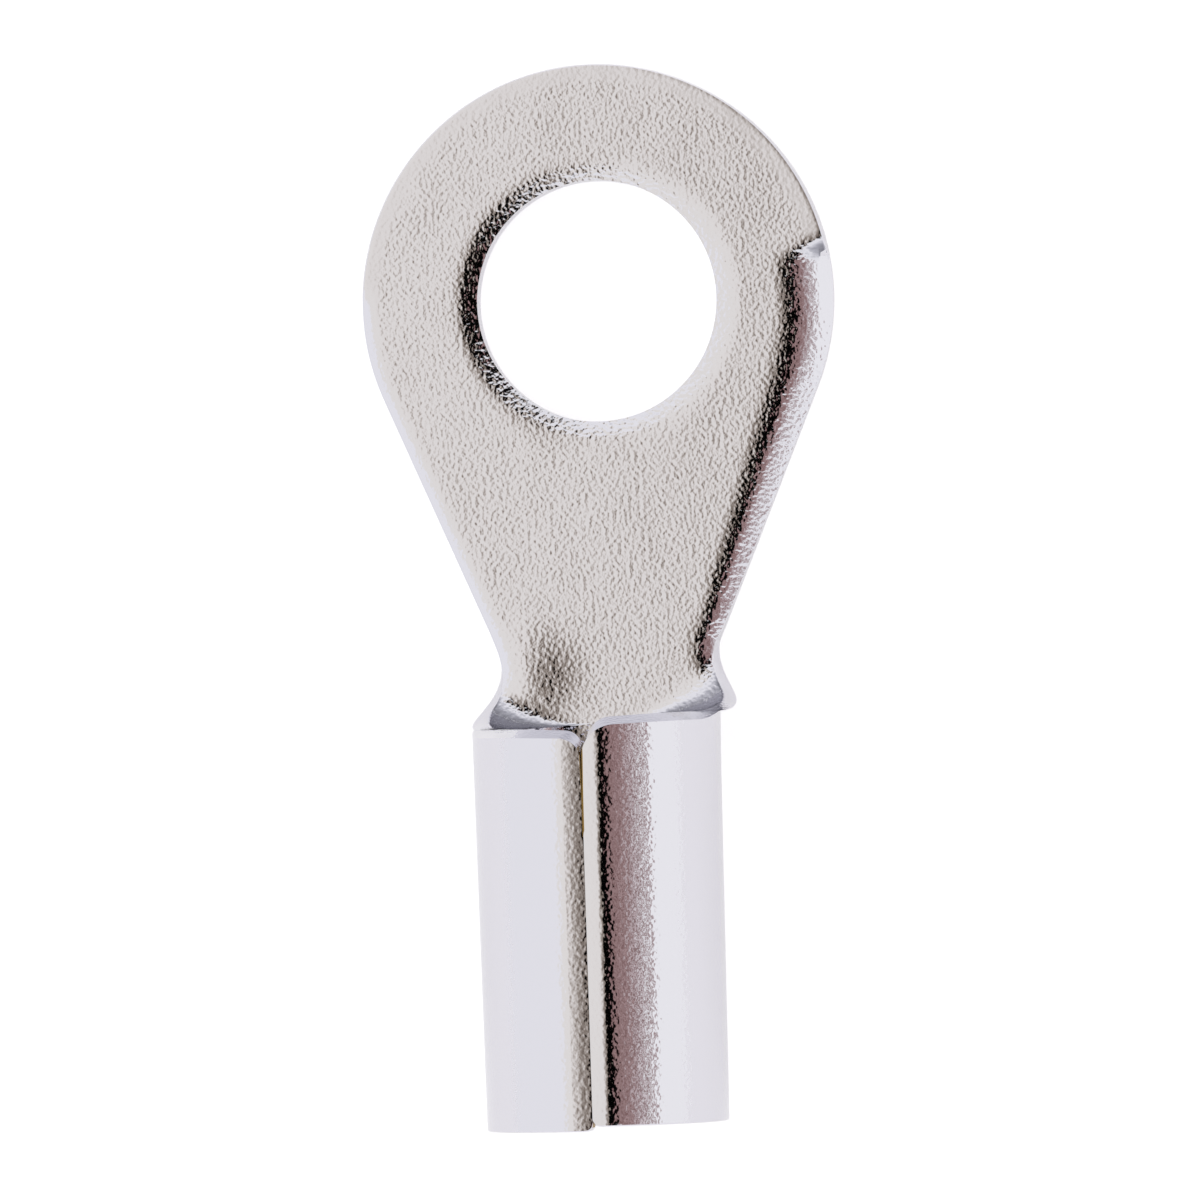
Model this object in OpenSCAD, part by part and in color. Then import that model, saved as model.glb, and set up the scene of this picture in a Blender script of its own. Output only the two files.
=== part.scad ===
// Ring terminal: one piece of tin-plated brass sheet, punched to a ring tongue with two wings,
// whose wings are rolled up into a wire barrel that closes at a butt seam along its top.
// Origin: the stud hole's centre, on the underside. +Y runs to the ring's tip, +Z is up.

/* [Sheet] */
// Thickness of the sheet
sheet_t = 0.6; // [0.5:0.05:0.8]

/* [Ring tongue] */
// Diameter of the stud hole
hole_d = 5.2; // [4.2:0.1:6.2]
// Outer diameter of the ring
ring_d = 10.2; // [9:0.1:12]
// Width of the tongue at its neck
neck_w = 4.66; // [3.6:0.02:5.2]
// Distance from the stud hole's centre to the narrowest point of the neck
neck_y = 7.82; // [7:0.02:8.4]

/* [Wire barrel] */
// Inside diameter of the barrel
bore_d = 4.1; // [3.2:0.1:4.6]
// Length of the barrel
barrel_len = 8.65; // [6:0.05:12]
// Distance from the stud hole's centre to the barrel's front edge
barrel_front = 9.05; // [8.6:0.05:10]
// Gap between the two edges that meet at the seam
seam_gap = 0.05; // [0.02:0.01:0.3]
// Width of the groove that the edges' rounded corners leave along the seam
seam_groove_w = 0.24; // [0.1:0.02:0.4]
// Radius of the left wing's front corner at the seam
left_corner_r = 0.55; // [0.3:0.05:1]
// Radius of the right wing's front corner at the seam
right_corner_r = 0.85; // [0.3:0.05:1]
// Radius of both wings' rear corners at the seam
rear_corner_r = 0.2; // [0.1:0.05:0.5]
// Chamfer on the outside of the wings' front edge
front_chamfer = 0.12; // [0.05:0.01:0.25]
// Length of the flared wire entry
entry_len = 0.3; // [0.1:0.05:0.6]
// How far the flared wire entry opens beyond the bore
entry_flare = 0.15; // [0.05:0.01:0.3]

/* [Punched edges] */
// Width of the rounding that the punch leaves along the upper edge of the tongue's sides
edge_roll_w = 0.95; // [0.4:0.05:1.2]
// Depth of that rounding at the outline
edge_roll_h = 0.42; // [0.1:0.01:0.45]
// Angle above the cross axis where the rounding ends; the ring's tip beyond it has a crisp edge
edge_roll_end = 10; // [0:1:40]
// Width of the rounding round the stud hole's upper edge
hole_roll_w = 0.5; // [0.2:0.05:0.7]
// Depth of that rounding at the hole
hole_roll_h = 0.12; // [0.04:0.01:0.3]

/* [Neck] */
// Distance from the stud hole's centre to where the flat tongue starts to curl up
curl_start = 6.9; // [6.4:0.05:7.2]
// How late the curl reaches the neck's middle: 1 is even, less is later
curl_exponent = 0.55; // [0.4:0.05:1]

/* [Hidden] */
$fn = 96;
margin = 1;                    // how far a cutter reaches past what it cuts
joint_inset = 0.015;           // how far the neck's faces stay inside those of the pieces it joins
joint_lap = 0.1;               // how far the neck's two ends reach into those pieces
graze_inset = joint_inset / 4; // how far the tongue's straight sides lie inside the tangent line

ring_r = ring_d / 2;
hole_r = hole_d / 2;
bore_r = bore_d / 2;
barrel_r = bore_r + sheet_t;   // outside radius of the barrel
mid_r = bore_r + sheet_t / 2;  // radius of the sheet's middle layer when fully rolled
// How many degrees the ring's round part reaches past the tangent lines, into its straight sides.
graze_a = 2 * acos(1 - graze_inset / ring_r);

// The punched outline runs from the ring along a straight taper into the round root of each wing.
root_r = barrel_front - neck_y;
root_c = [neck_w / 2 + root_r, -neck_y];
// Direction of the right taper edge's outward normal: the edge is the line that touches the ring
// on one side and the root's circle on the other.
taper_a = atan2(root_c.y, root_c.x) + acos((ring_r + root_r) / norm(root_c));

// Half the outline's width at y, between the ring and the wings' front edge.
function half_w(y) =
    y > root_c.y - root_r * sin(taper_a)
        ? (ring_r - y * sin(taper_a)) / cos(taper_a)
        : root_c.x - sqrt(max(0, root_r ^ 2 - (y - root_c.y) ^ 2));

// Distance from a point of the flat blank, right of the centre line, to the outline.
function edge_distance(u, y) =
    y > root_c.y - root_r * sin(taper_a)
        ? ring_r - u * cos(taper_a) - y * sin(taper_a)
        : norm([u, y] - root_c) - root_r;

// How far a punched edge has sunk at a distance from the edge: an arc that leaves the flat smoothly.
function roll_drop(d, width, depth) =
    let (r = (width ^ 2 + depth ^ 2) / (2 * depth))
    r - sqrt(r ^ 2 - max(0, width - d) ^ 2);

// Shares of the rounding's width at which its profile has a point.
roll_steps = [0, 0.12, 0.25, 0.4, 0.56, 0.76, 1];

// The tongue's section from its middle out to its edge, with the rounding on the upper side.
module edge_profile(outer) {
    polygon([
        [0, 0],
        [outer, 0],
        for (s = roll_steps)
            [
                outer - s * edge_roll_w,
                sheet_t - roll_drop(s * edge_roll_w, edge_roll_w, edge_roll_h)
            ],
        [0, sheet_t]
    ]);
}

// One straight side of the tongue, from the ring to beyond the start of the curl. It lies a hair
// inside the line that touches the ring, so the two cross instead of grazing.
module taper_side() {
    intersection() {
        rotate([90, 0, taper_a])
            linear_extrude(curl_start / cos(taper_a) + ring_r * tan(-taper_a) + margin)
                edge_profile(ring_r - 2 * graze_inset);
        translate([0, -2 * ring_d, -margin])
            cube([ring_d, 4 * ring_d, sheet_t + 2 * margin]);
    }
}

// The ring's round part. Its rounded half lies a hair inside the crisp tip, so the two cross.
module ring() {
    rotate([0, 0, edge_roll_end])
        rotate_extrude(angle = 180 - 2 * edge_roll_end)
            square([ring_r, sheet_t]);
    rotate([0, 0, taper_a - graze_a])
        rotate_extrude(angle = 180 - 2 * (taper_a - graze_a))
            edge_profile(ring_r - graze_inset);
}

// The stud hole with its rounded upper edge, as a cutter.
module hole_cutter() {
    rotate_extrude()
        polygon([
            [0, -margin],
            [hole_r, -margin],
            for (s = roll_steps)
                [
                    hole_r + s * hole_roll_w,
                    sheet_t - roll_drop(s * hole_roll_w, hole_roll_w, hole_roll_h)
                ],
            [hole_r + hole_roll_w, sheet_t + margin],
            [0, sheet_t + margin]
        ]);
}

// The flat tongue, cut off square where the curl starts.
module tongue() {
    difference() {
        intersection() {
            union() {
                ring();
                taper_side();
                mirror([1, 0, 0])
                    taper_side();
            }
            translate([-ring_d, -curl_start, -margin])
                cube([2 * ring_d, curl_start + ring_d, sheet_t + 2 * margin]);
        }
        hole_cutter();
    }
}

// Places a point of the blank, at height w in the sheet, on a section that is flat as far as flat_u
// from the centre line and curls up beyond it with the barrel's radius.
function curled(u, w, y, flat_u) =
    abs(u) <= flat_u
        ? [u, y, w]
        : let (a = (abs(u) - flat_u) / mid_r * 180 / PI, rho = mid_r + sheet_t / 2 - w)
          [sign(u) * (flat_u + rho * sin(a)), y, sheet_t / 2 + mid_r - rho * cos(a)];

function ease(s) = s * s * (3 - 2 * s);

// The neck: the flat tongue curls up from its sides inwards, until it has the barrel's section.
module neck() {
    straight_steps = 4;
    root_steps = 12;
    inner_steps = 7;
    root_start = root_c.y - root_r * sin(taper_a);
    stations = concat(
        [joint_lap - curl_start],
        [for (i = [0:straight_steps - 1])
            -curl_start + (root_start + curl_start) * i / straight_steps],
        [for (i = [0:root_steps])
            root_c.y - root_r * sin(taper_a + (90 - taper_a) * i / root_steps)],
        [-barrel_front - joint_lap]
    );
    // Columns across the neck as shares of its half width: close together in the rounding.
    roll_share = edge_roll_w / cos(taper_a) / half_w(-curl_start);
    right = concat(
        [for (i = [0:inner_steps - 1]) (1 - roll_share) * i / inner_steps],
        [for (i = [len(roll_steps) - 1:-1:0]) 1 - roll_share * roll_steps[i]]
    );
    columns = concat([for (i = [len(right) - 1:-1:1]) -right[i]], right);
    n = len(columns);
    sections = [
        for (y = stations)
            let (
                s = min(1, max(0, (-y - curl_start) / (barrel_front - curl_start))),
                flat_u = half_w(-curl_start) * (1 - s) ^ curl_exponent,
                half = half_w(y) - joint_inset
            )
            concat(
                [for (c = columns) curled(c * half, joint_inset, y, flat_u)],
                [for (i = [n - 1:-1:0])
                    let (
                        u = columns[i] * half,
                        drop = roll_drop(edge_distance(abs(u), y), edge_roll_w, edge_roll_h)
                    )
                    curled(u, sheet_t - joint_inset - drop * (1 - ease(s)), y, flat_u)]
            )
    ];
    ring = 2 * n;
    last = ring * (len(stations) - 1);
    polyhedron(
        [for (section = sections) each section],
        concat(
            // The flat face where the curl starts, in strips from one column to the next.
            [for (i = [0:n - 2])
                let (a = i, b = i + 1, c = ring - 2 - i, d = ring - 1 - i)
                each [[a, b, c], [a, c, d]]],
            [for (i = [0:len(stations) - 2], j = [0:ring - 1])
                let (a = i * ring + j, b = i * ring + (j + 1) % ring)
                each [[a, a + ring, b], [b, a + ring, b + ring]]],
            // The face that meets the barrel.
            [for (i = [0:n - 2])
                let (a = last + i, b = a + 1, c = last + ring - 2 - i, d = c + 1)
                each [[a, c, b], [a, d, c]]]
        )
    );
}

// Outline, in plan, of what a wing's rounded corner of radius r leaves out beside the seam.
function corner_cut(r) = [
    [0, margin],
    [0, -r],
    for (a = [0:10:90]) [seam_gap / 2 + r - r * cos(a), -r + r * sin(a)],
    [seam_gap / 2 + r, margin]
];

// The open corners at one end of the seam, as a cutter above the barrel's axis.
module corner_cutter(left_r, right_r) {
    translate([0, 0, barrel_r])
        linear_extrude(barrel_r + margin) {
            polygon(corner_cut(right_r));
            mirror([1, 0])
                polygon(corner_cut(left_r));
        }
}

// The chamfer along the outside of the wings' front edge, as a cutter above the barrel's axis.
module chamfer_cutter() {
    translate([0, 0, barrel_r])
        rotate([90, 0, 0])
            rotate_extrude(angle = 180)
                polygon([
                    [barrel_r - front_chamfer - margin, -margin],
                    [barrel_r + margin, front_chamfer + margin],
                    [barrel_r + margin, -margin]
                ]);
}

// The barrel's section: the rolled sheet, open at the seam along its top.
module barrel_section() {
    difference() {
        circle(barrel_r);
        circle(bore_r);
        translate([-seam_gap / 2, 0])
            square([seam_gap, barrel_r + margin]);
        translate([0, barrel_r])
            polygon([
                [-seam_groove_w, margin],
                [-seam_groove_w / 2, 0],
                [0, -seam_groove_w],
                [seam_groove_w / 2, 0],
                [seam_groove_w, margin]
            ]);
    }
}

module wire_barrel() {
    difference() {
        translate([0, -barrel_front, barrel_r])
            rotate([90, 0, 0])
                linear_extrude(barrel_len)
                    barrel_section();
        translate([0, -barrel_front, 0])
            corner_cutter(left_corner_r, right_corner_r);
        translate([0, -barrel_front, 0])
            chamfer_cutter();
        translate([0, -barrel_front - barrel_len, 0])
            mirror([0, 1, 0])
                corner_cutter(rear_corner_r, rear_corner_r);
        // The flared wire entry.
        translate([0, -barrel_front - barrel_len, barrel_r])
            rotate([90, 0, 0])
                mirror([0, 0, 1])
                    cylinder(h = entry_len, r1 = bore_r + entry_flare, r2 = bore_r);
    }
}

// The whole terminal is one piece of sheet.
module terminal() {
    color([0.79, 0.78, 0.76])
        union() {
            tongue();
            neck();
            wire_barrel();
        }
}

terminal();
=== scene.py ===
# %% [markdown]
# # A ring terminal, from sheet metal to studio shot
#
# A ring terminal is one piece of thin brass sheet. A press punches a flat blank: a ring with a stud
# hole, a neck, and two wings. Then it rolls the wings up until their edges meet, which makes the
# barrel that grips a wire. Last of all the piece is plated with tin.
#
# This lesson follows the same order: punch, round the punched edges, roll, plate. A solid could also
# be built from a cylinder and a plate, but then the neck, where flat sheet turns into a tube, would
# have to be faked. Rolling a flat mesh gives the neck its true form for nothing.
#
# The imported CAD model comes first. It is the fixed frame that everything is measured from.

# %% Load the frame
import math

import bmesh
import bpy
from mathutils import Matrix, Vector


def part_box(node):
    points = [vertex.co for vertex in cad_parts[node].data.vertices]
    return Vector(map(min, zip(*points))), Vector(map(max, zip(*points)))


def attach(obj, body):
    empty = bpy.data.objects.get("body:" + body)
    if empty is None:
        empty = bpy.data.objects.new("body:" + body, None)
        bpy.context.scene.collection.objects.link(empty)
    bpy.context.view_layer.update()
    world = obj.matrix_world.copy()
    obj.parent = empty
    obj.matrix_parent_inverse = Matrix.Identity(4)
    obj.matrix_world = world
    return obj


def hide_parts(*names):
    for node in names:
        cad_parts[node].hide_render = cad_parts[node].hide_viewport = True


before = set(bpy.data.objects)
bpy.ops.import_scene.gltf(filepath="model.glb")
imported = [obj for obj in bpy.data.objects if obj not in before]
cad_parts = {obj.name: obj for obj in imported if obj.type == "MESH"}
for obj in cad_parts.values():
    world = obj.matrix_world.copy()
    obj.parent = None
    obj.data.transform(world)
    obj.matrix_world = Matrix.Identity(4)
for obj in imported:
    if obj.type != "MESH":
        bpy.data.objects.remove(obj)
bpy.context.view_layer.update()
low, high = (Vector(corner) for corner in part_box("terminal"))
print("CAD box, mm:", [round(x * 1000, 2) for x in (*low, *high)])

# %% [markdown]
# The driving sizes are the ones that a maker would write on the drawing. The ring's radius and the
# barrel's rear end are read from the frame, so the two models can't drift apart.

# %% Driving sizes
MM = 0.001
ring_r = (high.x - low.x) / 2
hole_r = 2.6 * MM
sheet_t = 0.6 * MM
neck_half = 2.33 * MM
neck_y = -7.82 * MM
curl_y = -6.9 * MM
barrel_front = -9.05 * MM
barrel_rear = low.y
barrel_r = 2.65 * MM
rear_squeeze = 0.07 * MM  # how much smaller the barrel's radius is at its rear end
print("ring radius, mm:", round(ring_r / MM, 2))
print("barrel length, mm:", round((barrel_front - barrel_rear) / MM, 2))

# %% [markdown]
# ## The blank's outline
#
# Seen flat, the ring runs into two straight sides that taper to the neck, and each side swings out
# again through a round root into the front edge of its wing. The side is the one straight line that
# touches the ring's circle and the root's circle, so one angle fixes the whole outline.

# %% The line that touches both circles
root_r = neck_y - barrel_front
root = Vector((neck_half + root_r, neck_y))
side_a = math.atan2(root.y, root.x) + math.acos((ring_r + root_r) / root.length)
side_end_y = root.y - root_r * math.sin(side_a)


def half_width(y):
    """Half the blank's width at y, between the ring and the wings."""
    if y > side_end_y:
        return (ring_r - y * math.sin(side_a)) / math.cos(side_a)
    return root.x - math.sqrt(max(0.0, root_r**2 - (y - root.y) ** 2))


def edge_distance(x, y):
    """How far a point of the tongue or neck lies inside the outline."""
    x = abs(x)
    if y <= side_end_y:
        return (Vector((x, y)) - root).length - root_r
    if math.atan2(y, x) > side_a:
        return ring_r - math.hypot(x, y)
    return ring_r - x * math.cos(side_a) - y * math.sin(side_a)


print("side angle, degrees:", round(math.degrees(side_a), 1))
print("neck width, mm:", round(2 * half_width(neck_y) / MM, 2))

# %% [markdown]
# ## Columns of vertices
#
# The neck and barrel are drawn as rows and columns, because a regular grid rolls up without
# wrinkles. Columns stand close together where the sheet will show most: beside the punched edges and
# at the two corners that meet on the seam.

# %% Where the columns stand
EDGE_STEPS = (0.0, 0.025, 0.06, 0.1, 0.15, 0.21, 0.28, 0.36, 0.46, 0.6, 0.78, 1.0)
INNER_COLS = 12
edge_roll_w = 1.06 * MM
edge_share = edge_roll_w / math.cos(side_a) / half_width(curl_y)
inner = [(1 - edge_share) * i / INNER_COLS for i in range(INNER_COLS)]
right_shares = inner + [1 - edge_share * s for s in reversed(EDGE_STEPS)]
neck_shares = [-s for s in reversed(right_shares[1:])] + right_shares
print("columns across the neck:", len(neck_shares))


def sheet_middle_r(y):
    """The rolled sheet's radius at the middle of its thickness."""
    along = min(1.0, max(0.0, (barrel_front - y) / (barrel_front - barrel_rear)))
    return barrel_r - rear_squeeze * along - sheet_t / 2


def ease(s):
    """A smooth step from 0 to 1."""
    s = min(1.0, max(0.0, s))
    return s * s * (3 - 2 * s)


seam_gap_front, seam_gap_rear = 0.05 * MM, 0.006 * MM
seam_open_len = 2.0 * MM


def blank_half(y):
    """Half the blank's width in the wings: half the rolled circle, less half the seam's gap."""
    shut = ease((barrel_front - y) / seam_open_len)
    seam_gap = seam_gap_front + (seam_gap_rear - seam_gap_front) * shut
    return math.pi * sheet_middle_r(y) - seam_gap / 2


# %% [markdown]
# ## A grid that is laid out point by point
#
# `create_grid` makes the faces. Each vertex is then moved to the place that its row and column stand
# for, as a sheet of graph paper is stretched over a drawing.

# %% A stretched grid
def laid_grid(bm, columns, rows, place):
    """Adds a grid whose vertex in column i and row j stands at place(i, j)."""
    made = bmesh.ops.create_grid(bm, x_segments=columns - 1, y_segments=rows - 1, size=1.0)
    for v in made["verts"]:
        i = round((v.co.x + 1) / 2 * (columns - 1))
        j = round((v.co.y + 1) / 2 * (rows - 1))
        x, y = place(i, j)
        v.co = Vector((x, y, 0.0))


blank = bmesh.new()

# %% [markdown]
# The tongue is laid out in spokes round the stud hole. Along the line where the curl starts, the
# spokes end exactly on the neck's columns, so the two grids can be welded.

# %% The tongue, in spokes round the hole
line_x = [s * half_width(curl_y) for s in neck_shares]
line_spokes = [math.atan2(curl_y, x) for x in line_x]
first = line_spokes[-1]
last = line_spokes[0] + 2 * math.pi
SPOKES = 150
arc_spokes = [first + (last - first) * i / SPOKES for i in range(1, SPOKES)]
spokes = arc_spokes + [a + 2 * math.pi for a in line_spokes]
spokes = spokes + [spokes[0] + 2 * math.pi]


def reach(a):
    """How far a spoke runs from the hole's centre to the outline or to the line of the curl."""
    a = math.remainder(a, 2 * math.pi)
    if math.sin(a) < 0:
        to_line = curl_y / math.sin(a)
        if abs(to_line * math.cos(a)) <= half_width(curl_y) * (1 + 1e-9):
            return to_line
    fold = math.pi - a if a > math.pi / 2 else (-math.pi - a if a < -math.pi / 2 else a)
    return ring_r if fold > side_a else ring_r / math.cos(fold - side_a)


hole_roll_w = 0.42 * MM
MID_STEPS = 6


def spoke_stops(a):
    """Distances from the hole's centre at which a spoke has a vertex."""
    rim = reach(a)
    near_hole = [hole_r + hole_roll_w * s for s in EDGE_STEPS]
    near_rim = [rim - edge_roll_w * s for s in reversed(EDGE_STEPS)]
    start, end = near_hole[-1], near_rim[0]
    between = [start + (end - start) * k / MID_STEPS for k in range(1, MID_STEPS)]
    return near_hole + between + near_rim


stops = [spoke_stops(a) for a in spokes]
laid_grid(
    blank,
    len(spokes),
    len(stops[0]),
    lambda i, j: (stops[i][j] * math.cos(spokes[i]), stops[i][j] * math.sin(spokes[i])),
)
print("tongue vertices:", len(blank.verts))

# %% [markdown]
# The neck's rows follow its outline: a few along the straight side, and more round the root, spaced
# by angle so that the root stays round.

# %% The neck
SIDE_ROWS, ROOT_ROWS = 6, 22
neck_rows = [curl_y + (side_end_y - curl_y) * j / SIDE_ROWS for j in range(SIDE_ROWS)]
neck_rows += [
    root.y - root_r * math.sin(side_a + (math.pi / 2 - side_a) * j / ROOT_ROWS)
    for j in range(ROOT_ROWS + 1)
]
laid_grid(
    blank,
    len(neck_shares),
    len(neck_rows),
    lambda i, j: (neck_shares[i] * half_width(neck_rows[j]), neck_rows[j]),
)

# %% [markdown]
# The wings and what lies between them become the barrel. Their front edge droops a little towards
# the seam and ends in a rounded corner, wider on the right wing than on the left.

# %% The wings
corner_left, corner_right, corner_rear = 0.42 * MM, 0.6 * MM, 0.15 * MM
front_droop = 0.1 * MM
neck_cols = [s * root.x for s in neck_shares]
FLAT_COLS, CORNER_COLS = 14, 12


def wing_columns(corner):
    """Columns from the root out to the seam, spaced by angle round the corner."""
    half = blank_half(barrel_front)
    flat_end = half - corner
    flat = [root.x + (flat_end - root.x) * i / FLAT_COLS for i in range(1, FLAT_COLS + 1)]
    turn = [math.sin(math.pi / 2 * i / CORNER_COLS) for i in range(1, CORNER_COLS + 1)]
    return flat + [flat_end + corner * share for share in turn]


left_cols = [-u for u in reversed(wing_columns(corner_left))]
barrel_cols = left_cols + neck_cols + wing_columns(corner_right)


def corner_drop(u, corner):
    """How far the front or rear edge steps back at u because its corner is round."""
    over = abs(u) - (blank_half(barrel_front) - corner)
    return corner - math.sqrt(max(0.0, corner**2 - over**2)) if over > 0 else 0.0


def front_edge(u):
    """Where the wings' front edge stands at u."""
    out = max(0.0, abs(u) - root.x) / (blank_half(barrel_front) - root.x)
    corner = corner_left if u < 0 else corner_right
    return barrel_front - front_droop * out**2 - corner_drop(u, corner)


def rear_edge(u):
    """Where the wings' rear edge stands at u."""
    return barrel_rear + corner_drop(u, corner_rear)


END_STEPS = (0.0, 0.003, 0.007, 0.012, 0.02, 0.032)
MIDDLE_ROWS = 32
end_len = END_STEPS[-1]
middle_steps = [end_len + (1 - 2 * end_len) * j / MIDDLE_ROWS for j in range(1, MIDDLE_ROWS)]
barrel_rows = [*END_STEPS, *middle_steps, *(1 - s for s in reversed(END_STEPS))]


def barrel_place(i, j):
    """Where the barrel's vertex in column i and row j stands on the flat blank."""
    u = barrel_cols[i]
    y = front_edge(u) + (rear_edge(u) - front_edge(u)) * barrel_rows[j]
    return u * blank_half(y) / blank_half(barrel_front), y


laid_grid(blank, len(barrel_cols), len(barrel_rows), barrel_place)
print("columns across the barrel:", len(barrel_cols))

# %% [markdown]
# The three grids are welded where they meet, and the flat blank gets the sheet's thickness.

# %% Weld and thicken
WELD_GAP = 0.0005 * MM
bmesh.ops.remove_doubles(blank, verts=blank.verts, dist=WELD_GAP)
bmesh.ops.recalc_face_normals(blank, faces=blank.faces)
if sum(f.normal.z for f in blank.faces) > 0:
    bmesh.ops.reverse_faces(blank, faces=blank.faces)
everything = blank.faces[:] + blank.edges[:] + blank.verts[:]
bmesh.ops.solidify(blank, geom=everything, thickness=sheet_t)
lowest = min(v.co.z for v in blank.verts)
bmesh.ops.translate(blank, verts=blank.verts, vec=(0, 0, -lowest))
bmesh.ops.recalc_face_normals(blank, faces=blank.faces)
print("blank height, mm:", round(max(v.co.z for v in blank.verts) / MM, 3))
print("open edges:", sum(not e.is_manifold for e in blank.edges))

# %% [markdown]
# ## Punched edges
#
# A punch drags the sheet down with it before it cuts, so the tongue's upper edge is rounded and the
# lower edge is crisp. The tool was worn on one side: the right side turns down wide and in two
# steps, a shallow slope and then a lip, and the left side hardly at all. The ring's tip is cut by
# another punch, which leaves its edge crisp, so the rounding stops short on both flanks of the ring.
#
# On the wings the upper side ends up inside the barrel. Their cut face slants, which shows as a thin
# bright band along the barrel's front edge, and their outer side falls a little towards the seam.
# All of it is one rule each for the two layers of vertices.

# %% Round the punched edges
EDGE_EXPONENT = 1.35
edge_roll_h = 0.225 * MM
edge_lip_w, edge_lip_h = 0.6 * MM, 0.225 * MM
neck_roll_share, neck_lip_share = 0.5, 0.3
left_roll_w, left_roll_h = 0.3 * MM, 0.07 * MM
roll_end_right, roll_end_left = math.radians(10.5), math.radians(2)
roll_end_fade = math.radians(4)
hole_roll_h = 0.058 * MM
crisp_r = 0.04 * MM
seam_roll_w, seam_roll_left, seam_roll_right = 0.4 * MM, 0.018 * MM, 0.012 * MM
cut_slant = 0.17 * MM
slant_reach = 0.3 * MM
wing_ease = 1.2 * MM
bare_w, bare_len = 0.02 * MM, 1.9 * MM
ROUNDING = 0.001 * MM


def curl_share(y):
    """0 on the flat tongue, 1 in the fully rolled barrel."""
    return min(1.0, max(0.0, (curl_y - y) / (curl_y - barrel_front)))


def roll_drop(d, width, depth):
    """How far a rounded edge has dropped at distance d: an arc that leaves the flat smoothly."""
    r = (width**2 + depth**2) / (2 * depth)
    return r - math.sqrt(r**2 - min(width, max(0.0, width - d)) ** 2)


def edge_drop(d, width, depth):
    """How far a punched edge has dropped at distance d: it turns down soonest where it starts."""
    return depth * min(1.0, max(0.0, 1 - d / width)) ** EDGE_EXPONENT


def side_drop(x, y, d):
    """How far the upper edge of the tongue's side has dropped; it narrows towards the neck."""
    if x < 0:
        return roll_drop(d, left_roll_w, left_roll_h)
    along = min(1.0, max(0.0, y / curl_y))
    width = 1 + (neck_roll_share - 1) * along
    height = 1 + (neck_lip_share - 1) * along
    slope = edge_drop(d, edge_roll_w * width, edge_roll_h * height)
    return slope + edge_drop(d, edge_lip_w * width, edge_lip_h * height)


def roll_left(x, y):
    """How much of the sides' rounding is left at a point: none along the ring's tip."""
    if y < 0:
        return 1.0
    end = roll_end_right if x > 0 else roll_end_left
    return ease((end - math.atan2(y, abs(x))) / roll_end_fade + 0.5)


def wing_distances(x, y):
    """Distances from a point of the barrel to the seam edge and to the front and rear edges."""
    u = x * blank_half(barrel_front) / blank_half(y)
    return blank_half(barrel_front) - abs(u), front_edge(u) - y, y - rear_edge(u)


def bare_lip(c):
    """Whether a point of the outer side lies on the strip of bare brass beside the open seam."""
    to_seam, to_front, _ = wing_distances(c.x, c.y)
    return c.y < barrel_front and to_seam < bare_w and to_front < bare_len


seam_faces = set()
for f in blank.faces:
    if abs(f.normal.z) < 0.5:
        c = f.calc_center_median()
        if c.y < barrel_front and blank_half(c.y) - abs(c.x) < bare_w:
            seam_faces.add(f)
            f.material_index = 1
    elif f.calc_center_median().z < sheet_t / 2 and bare_lip(f.calc_center_median()):
        seam_faces.add(f)
        f.material_index = 1

for v in blank.verts:
    x, y = v.co.x, v.co.y
    upper = v.co.z > sheet_t / 2
    if y > barrel_front + ROUNDING:
        d = edge_distance(x, y)
        if upper:
            rolled_share = roll_left(x, y) * (1 - ease(curl_share(y)))
            v.co.z -= side_drop(x, y, d) * rolled_share
            v.co.z -= roll_drop(d, crisp_r, crisp_r) * (1 - rolled_share)
            v.co.z -= edge_drop(math.hypot(x, y) - hole_r, hole_roll_w, hole_roll_h)
        else:
            v.co.z += roll_drop(d, crisp_r, crisp_r)
    else:
        to_seam, to_front, to_rear = wing_distances(x, y)
        on_wing = ease((abs(x) - root.x) / wing_ease)
        if upper:
            v.co.z -= roll_drop(min(to_seam, to_rear), 2 * crisp_r, 2 * crisp_r)
        else:
            v.co.z += roll_drop(to_rear, crisp_r, crisp_r)
            seam_roll_h = seam_roll_left if x < 0 else seam_roll_right
            v.co.z += roll_drop(to_seam, seam_roll_w, seam_roll_h)
            v.co.y -= cut_slant * on_wing * max(0.0, 1 - to_front / slant_reach)
print("faces on the seam's two cut edges:", len(seam_faces))

# %% [markdown]
# ## Roll the wings up
#
# Rolling keeps the sheet's middle layer at its length. The press bends the sides up first, so a
# section of the neck is flat in its middle and curls up beyond it with the barrel's radius. The flat
# part narrows along the neck and is gone where the wings begin. A point's height in the sheet
# becomes its place across the wall. The left wing also sits a little further back than the right
# one, as the blank lay slightly skew in the press, and beside the neck's left root the sheet has
# been pushed up into a shallow swell.

# %% Roll
CURL_EXPONENT = 0.6
skew_front, skew_rear = 0.13 * MM, 0.05 * MM


def wing_skew(x, y):
    """How far a point has slipped along the terminal, forward on the right and back on the left."""
    reached = ease((curl_y - y) / (curl_y - neck_y))
    along = min(1.0, max(0.0, (barrel_front - y) / (barrel_front - barrel_rear)))
    out = min(1.0, max(-1.0, x / neck_half))
    return (skew_front + (skew_rear - skew_front) * along) * reached * out * (1.5 - 0.5 * out**2)


crest_left, crest_right = math.radians(10.5), math.radians(7.4)
floor_len = 1.5 * MM
FLOOR_POWER, FLOOR_POWER_GAIN = 2.15, 1.35


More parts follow.
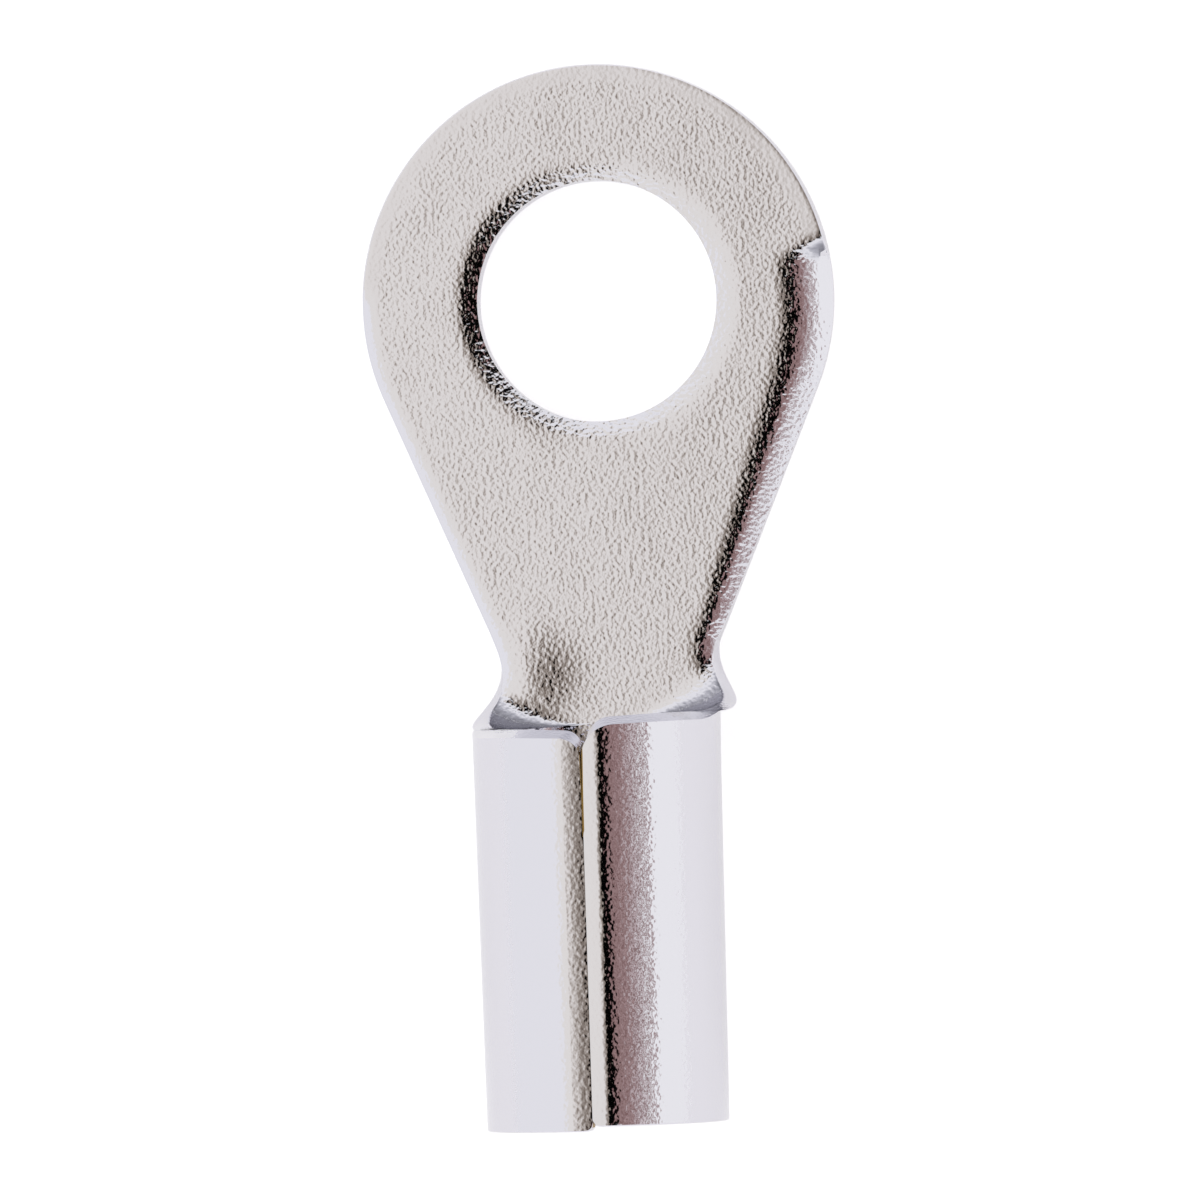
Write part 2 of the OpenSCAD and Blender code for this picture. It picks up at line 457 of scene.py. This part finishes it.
def flattened(a, co):
    """How far a point at angle a from the bottom stands out beyond the circle.

    Along the seam the press leaves a narrow flat. Where the neck runs in, the floor is still flat
    and turns up in tighter corners, more so on its inside.
    """
    if a > math.pi / 2:
        crest = crest_left if co.x < 0 else crest_right
        return min(1.0, math.cos(crest) / max(1e-6, -math.cos(a)))
    power = FLOOR_POWER + FLOOR_POWER_GAIN * co.z / sheet_t
    square = (math.sin(a) ** power + math.cos(a) ** power) ** (-1 / power)
    return 1 + (square - 1) * (1 - ease((barrel_front - co.y) / floor_len))


swell_at = Vector((-1.8 * MM, -7.95 * MM))
swell_r, swell_h = 0.55 * MM, 0.062 * MM


def swell(co):
    """How far the sheet stands up beside the left root, where the press pushed it over."""
    return swell_h * math.exp(-(co.xy - swell_at).length_squared / (2 * swell_r**2))


def rolled(co):
    """Where a point of the flat blank goes."""
    co = co + Vector((0, 0, swell(co)))
    middle = sheet_middle_r(co.y)
    flat = half_width(curl_y) * (1 - curl_share(co.y)) ** CURL_EXPONENT
    y = co.y + wing_skew(co.x, co.y)
    if co.y >= curl_y or abs(co.x) <= flat:
        return Vector((co.x, y, co.z))
    a = (abs(co.x) - flat) / middle
    rho = (middle + sheet_t / 2 - co.z) * flattened(a, co)
    x = math.copysign(flat + rho * math.sin(a), co.x)
    return Vector((x, y, sheet_t / 2 + middle - rho * math.cos(a)))


for v in blank.verts:
    v.co = rolled(v.co)
bmesh.ops.recalc_face_normals(blank, faces=blank.faces)
print("rolled height, mm:", round(max(v.co.z for v in blank.verts) / MM, 3))

# %% [markdown]
# Smooth shading makes the small faces read as one surface. Edges that turn sharply stay sharp.

# %% The finished piece
SHARP = math.radians(38)
for f in blank.faces:
    f.smooth = True
for e in blank.edges:
    if len(e.link_faces) == 2 and e.calc_face_angle(0.0) > SHARP:
        e.smooth = False
mesh = bpy.data.meshes.new("terminal_sheet")
blank.to_mesh(mesh)
blank.free()
sheet = bpy.data.objects.new("terminal_sheet", mesh)
bpy.context.scene.collection.objects.link(sheet)
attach(sheet, "root")
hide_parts("terminal")
print("triangles:", sum(len(p.vertices) - 2 for p in mesh.polygons))

# %% [markdown]
# ## Satin tin
#
# Electroplated tin is a bright, faintly blue grey metal. It copies the grain of the rolled sheet
# below it, so reflections break up into fine specks, while each speck stays quite sharp. So the
# satin comes from the grain's bumps and not from the shader's roughness. The grain is a few
# hundredths of a millimetre and is drawn a little coarser, because a finer one would not show.
#
# The grain isn't even. Sheet that was bent is rougher, sheet that was pressed hard round the barrel
# is smoother, and so is the ring's outer rim.

# %% Helpers for materials
def linear(code):
    """An sRGB hex colour as linear RGBA."""
    parts = [int(code[i : i + 2], 16) / 255 for i in (1, 3, 5)]
    return (*(c / 12.92 if c <= 0.04045 else ((c + 0.055) / 1.055) ** 2.4 for c in parts), 1.0)


def add_node(tree, kind, settings=None, links=None):
    """Adds a node, sets its properties and sockets by name, and links its inputs."""
    node = tree.nodes.new(kind)
    for name, value in (settings or {}).items():
        if isinstance(name, str) and hasattr(node, name):
            setattr(node, name, value)
        else:
            node.inputs[name].default_value = value
    for name, source in (links or {}).items():
        tree.links.new(source, node.inputs[name])
    return node


def new_material(name):
    """A material with an empty node tree, and that tree."""
    made = bpy.data.materials.new(name)
    made.use_nodes = True
    made.node_tree.nodes.clear()
    return made, made.node_tree


# %% Tin over brass
GRAIN, GRAIN_H = 0.085 * MM, 0.006 * MM
WAVE, WAVE_H = 1.4 * MM, 0.008 * MM
BARREL_GRAIN, RIM_GRAIN, BENT_GRAIN = 0.6, 0.35, 2.1
FLAT_NZ, BENT_NZ = 0.9995, 0.994
tin, tree = new_material("satin_tin_on_rolled_brass")
coordinates = add_node(tree, "ShaderNodeTexCoord").outputs
place = coordinates["Object"]
grain = add_node(
    tree,
    "ShaderNodeTexNoise",
    {"Scale": 1 / GRAIN, "Detail": 0.6, "Roughness": 0.5},
    {"Vector": place},
)
wave = add_node(tree, "ShaderNodeTexNoise", {"Scale": 1 / WAVE, "Detail": 1.0}, {"Vector": place})
waved = add_node(
    tree, "ShaderNodeBump", {"Strength": 1.0, "Distance": WAVE_H}, {"Height": wave.outputs["Fac"]}
)


def graded(value, start, end, low_out, high_out):
    """Goes from low_out to high_out as a value goes from start to end."""
    limits = {"From Min": start, "From Max": end, "To Min": low_out, "To Max": high_out}
    return add_node(tree, "ShaderNodeMapRange", limits, {"Value": value}).outputs["Result"]


def combined(operation, a, b):
    """Two numbers put together by a Math node."""
    made = add_node(tree, "ShaderNodeMath", {"operation": operation}, {0: a, 1: b})
    return made.outputs["Value"]


along = add_node(tree, "ShaderNodeSeparateXYZ", links={"Vector": place}).outputs["Y"]
pressed = graded(along, -9.3 * MM, -8.6 * MM, BARREL_GRAIN, 1.0)
from_hole = add_node(tree, "ShaderNodeVectorMath", {"operation": "LENGTH"}, {0: place})
rim = graded(from_hole.outputs["Value"], 4.7 * MM, 4.85 * MM, 1.0, RIM_GRAIN)
below_rim = graded(along, 0.5 * MM, -1.0 * MM, 0.0, 1.0)
facing = add_node(tree, "ShaderNodeSeparateXYZ", links={"Vector": coordinates["Normal"]})
bent = graded(facing.outputs["Z"], FLAT_NZ, BENT_NZ, 1.0, BENT_GRAIN)
even = combined("MULTIPLY", pressed, combined("MAXIMUM", rim, below_rim))
strength = combined("MULTIPLY", even, bent)
grained = add_node(
    tree,
    "ShaderNodeBump",
    {"Distance": GRAIN_H},
    {"Strength": strength, "Height": grain.outputs["Fac"], "Normal": waved.outputs["Normal"]},
)
shader = add_node(
    tree,
    "ShaderNodeBsdfPrincipled",
    {"Base Color": linear("#E5E4EA"), "Metallic": 1.0, "Roughness": 0.06},
    {"Normal": grained.outputs["Normal"]},
)
add_node(tree, "ShaderNodeOutputMaterial", links={"Surface": shader.outputs["BSDF"]})
sheet.data.materials.append(tin)

# %% Bare brass on the seam's cut edges
brass, tree = new_material("sheared_brass_edge")
shader = add_node(
    tree,
    "ShaderNodeBsdfPrincipled",
    {"Base Color": linear("#A98A50"), "Metallic": 1.0, "Roughness": 0.4},
)
add_node(tree, "ShaderNodeOutputMaterial", links={"Surface": shader.outputs["BSDF"]})
sheet.data.materials.append(brass)
print("materials:", [m.name for m in sheet.data.materials])

# %% [markdown]
# ## Studio
#
# The terminal lies on a white floor, which the camera sees at full white, with only a faint shadow
# where the metal touches it. The light is a big soft white room with a warm ceiling, whose two far
# ends are a little darker. Beside the camera stand a narrow black card and a striped brown one,
# long ones that run with the barrel. Bare metal shows only what stands round it: without dark cards
# it would look like plaster.

# %% Floor
FLOOR_SEEN, FLOOR_MIRRORED = 0.55, 0.33
bpy.ops.mesh.primitive_plane_add(size=2.0)
floor = bpy.context.object
floor.name = "floor"
paper, tree = new_material("white_paper_floor")
ray = add_node(tree, "ShaderNodeLightPath").outputs
mirrored = combined("MAXIMUM", ray["Is Glossy Ray"], ray["Is Transmission Ray"])
part = add_node(
    tree, "ShaderNodeMath", {"operation": "MULTIPLY", 1: FLOOR_MIRRORED}, {0: mirrored}
)
lift = add_node(
    tree,
    "ShaderNodeMath",
    {"operation": "MULTIPLY_ADD", 1: FLOOR_SEEN},
    {0: ray["Is Camera Ray"], 2: part.outputs["Value"]},
)
white = add_node(tree, "ShaderNodeBsdfDiffuse", {"Color": linear("#F4F4F4")})
glow = add_node(
    tree,
    "ShaderNodeEmission",
    {"Color": linear("#FFFFFF")},
    {"Strength": lift.outputs["Value"]},
)
both = add_node(
    tree,
    "ShaderNodeAddShader",
    links={0: white.outputs["BSDF"], 1: glow.outputs["Emission"]},
)
add_node(tree, "ShaderNodeOutputMaterial", links={"Surface": both.outputs["Shader"]})
floor.data.materials.append(paper)
print("floor:", floor.name)

# %% [markdown]
# The world's colour depends on two things. Its lean, the angle from straight up towards +X, picks a
# colour across the ceiling and the cards. How far a direction points along Y then fades those cards
# into the plain end walls, so that they don't wrap round the rounded edges.

# %% Light from all round
world = bpy.data.worlds.new("studio")
bpy.context.scene.world = world
world.use_nodes = True
tree = world.node_tree
tree.nodes.clear()
way = add_node(tree, "ShaderNodeTexCoord").outputs["Generated"]
split = add_node(tree, "ShaderNodeSeparateXYZ", links={"Vector": way}).outputs
lean = combined("ARCTAN2", split["X"], split["Z"])
share = graded(lean, -math.pi / 2, math.pi / 2, 0.0, 1.0)


def colour_ramp(fac, stops):
    """The colours that stand at certain places from 0 to 1."""
    node = add_node(tree, "ShaderNodeValToRGB", links={"Fac": fac})
    while len(node.color_ramp.elements) < len(stops):
        node.color_ramp.elements.new(0.5)
    for element, (position, code) in zip(node.color_ramp.elements, stops):
        element.position = position
        element.color = linear(code)
    return node.outputs["Color"]


CEILING = (
    *((-90, "#F8F8FA"), (-30, "#F8F8FA"), (-25, "#F3F0EA"), (-13, "#F4F1EB")),
    *((-8, "#F1EDE7"), (-5, "#D3CCC4"), (-2, "#A2988E"), (2, "#7C7066")),
)
BLACK_CARD = ((3, "#020202"), (14.5, "#020202"))
BROWN_CARD = (
    *((15.5, "#7C605E"), (18, "#947775"), (21, "#A88D8B"), (24, "#7F615F")),
    *((28, "#B69C9B"), (31, "#836663"), (35, "#D3C3C4"), (38, "#836664")),
    *((42, "#EAE1E2"), (45, "#8A6D6B"), (49, "#FFFFFF"), (52, "#9C8181")),
)
SIDE_WALL = ((57, "#FFFFFF"),)
END_WALLS = ((0.34, "#FAFAFB"), (0.5, "#F4F4F6"), (0.7, "#C4C4CA"), (0.95, "#8C8C92"))
CARD_END, WALL_START = 0.22, 0.36
across = [
    ((degrees + 90) / 180, code)
    for degrees, code in (*CEILING, *BLACK_CARD, *BROWN_CARD, *SIDE_WALL)
]
lengthwise = add_node(tree, "ShaderNodeMath", {"operation": "ABSOLUTE"}, {0: split["Y"]})
lengthwise = lengthwise.outputs["Value"]
fade = add_node(
    tree,
    "ShaderNodeMapRange",
    {"interpolation_type": "SMOOTHSTEP", "From Min": CARD_END, "From Max": WALL_START},
    {"Value": lengthwise},
)
light = add_node(
    tree, "ShaderNodeMix", {"data_type": "RGBA"}, {"Factor": fade.outputs["Result"]}
)
A_COLOUR, B_COLOUR, COLOUR_OUT = 6, 7, 2
tree.links.new(colour_ramp(share, across), light.inputs[A_COLOUR])
tree.links.new(colour_ramp(lengthwise, END_WALLS), light.inputs[B_COLOUR])
sky = add_node(
    tree, "ShaderNodeBackground", {"Strength": 1.0}, {"Color": light.outputs[COLOUR_OUT]}
)
add_node(tree, "ShaderNodeOutputWorld", links={"Surface": sky.outputs["Background"]})
print("colours across the room:", len(across))

# %% [markdown]
# The camera looks almost straight down, leaning a little to the right, from so far off that lines
# which run side by side stay so.

# %% Camera
LEAN = math.radians(7.63)
TILT = math.radians(1.07)
TURN = math.radians(-1.72)
FRAME_WIDTH = 25.82 * MM
DISTANCE = 0.25
towards = Vector((math.sin(LEAN) * math.cos(TILT), -math.sin(TILT), math.cos(LEAN) * math.cos(TILT)))
up0 = Vector((0, 1, 0)) - towards * towards.y
up0.normalize()
side0 = up0.cross(towards)
side = side0 * math.cos(TURN) + up0 * math.sin(TURN)
up = up0 * math.cos(TURN) - side0 * math.sin(TURN)
AIM_Y, AIM_LEFT, AIM_DOWN = -6 * MM, 0.098 * MM, 0.448 * MM
aim = Vector((0, AIM_Y, sheet_t)) - side * AIM_LEFT - up * AIM_DOWN
camera_data = bpy.data.cameras.new("camera")
camera_data.sensor_width = 36.0
camera_data.lens = 36.0 * DISTANCE / FRAME_WIDTH
camera_data.clip_start = 0.01
camera = bpy.data.objects.new("camera", camera_data)
turned = Matrix((side, up, towards)).transposed().to_4x4()
camera.matrix_world = Matrix.Translation(aim + towards * DISTANCE) @ turned
bpy.context.scene.collection.objects.link(camera)
bpy.context.scene.camera = camera
bpy.context.scene.view_settings.view_transform = "Standard"
